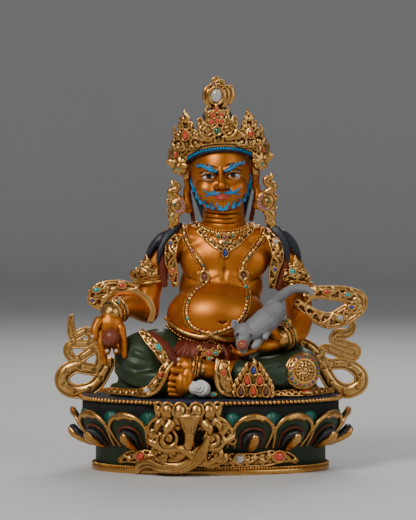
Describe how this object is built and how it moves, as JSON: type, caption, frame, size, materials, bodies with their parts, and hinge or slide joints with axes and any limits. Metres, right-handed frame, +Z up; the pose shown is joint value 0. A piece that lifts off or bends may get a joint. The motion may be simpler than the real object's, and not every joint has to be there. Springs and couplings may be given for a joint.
{
  "type": "jambhala statue",
  "caption": "Seated, crowned, bearded wealth deity on an oval lotus throne, one foot lowered, with a fruit, a mongoose that holds a jewel, a shell, a heap of jewels and looped ribbons.",
  "frame": {"origin": "on the ground under the middle of the statue's outline", "axes": "+Z up; the figure faces -Y; +X is to the viewer's right"},
  "size_m": [0.1936, 0.1235, 0.2417],
  "materials": {
    "painted_copper": "dark green and black paint over cast copper, with gilt rims",
    "matt_gold_skin": "matt gold skin, painted cloth and hair over cast copper",
    "fire_gilt_copper": "gilt copper with dark recesses",
    "coral": "polished opaque red stone",
    "turquoise": "polished opaque blue-green stone",
    "lapis": "polished opaque blue stone",
    "clear_crystal": "clear polished crystal",
    "amber_stone": "dark brown polished stone",
    "emerald_stone": "dark green polished stone",
    "painted_fruit": "brown-red satin paint",
    "carnelian_ball": "polished brown-red stone",
    "painted_grey": "grey paint over cast copper",
    "painted_white": "white paint over cast copper"
  },
  "bodies": {
    "root": {"lotus_throne": "painted_copper", "figure": "matt_gold_skin", "foot_lotus": "fire_gilt_copper", "crown": "fire_gilt_copper", "earring_left": "fire_gilt_copper", "earring_right": "fire_gilt_copper", "ribbon_left": "fire_gilt_copper", "ribbon_right": "fire_gilt_copper", "jewel_pile": "fire_gilt_copper", "scarf_loop_left": "fire_gilt_copper", "scarf_loop_right": "fire_gilt_copper", "crown_coral_top": "coral", "crown_coral_left": "coral", "crown_coral_right": "coral", "leaf_coral_left": "coral", "leaf_coral_right": "coral", "pile_coral_left": "coral", "pile_coral_right": "coral", "pile_coral_low": "coral", "scarf_coral_left": "coral", "scarf_coral_right": "coral", "hem_coral": "coral", "ankle_coral": "coral", "belt_coral": "coral", "shoulder_coral": "coral", "scarf_turquoise_left": "turquoise", "scarf_turquoise_right": "turquoise", "hem_turquoise": "turquoise", "armlet_turquoise": "turquoise", "pendant_lapis": "lapis", "pile_lapis": "lapis", "shoulder_lapis": "lapis", "crown_crystal": "clear_crystal", "scarf_crystal_right": "clear_crystal", "shoulder_crystal": "clear_crystal", "pile_amber_left": "amber_stone", "pile_amber_right": "amber_stone", "crown_emerald": "emerald_stone", "citron": "painted_fruit", "mongoose_jewel": "carnelian_ball", "mongoose": "painted_grey", "conch": "painted_white"}
  },
  "joints": []
}
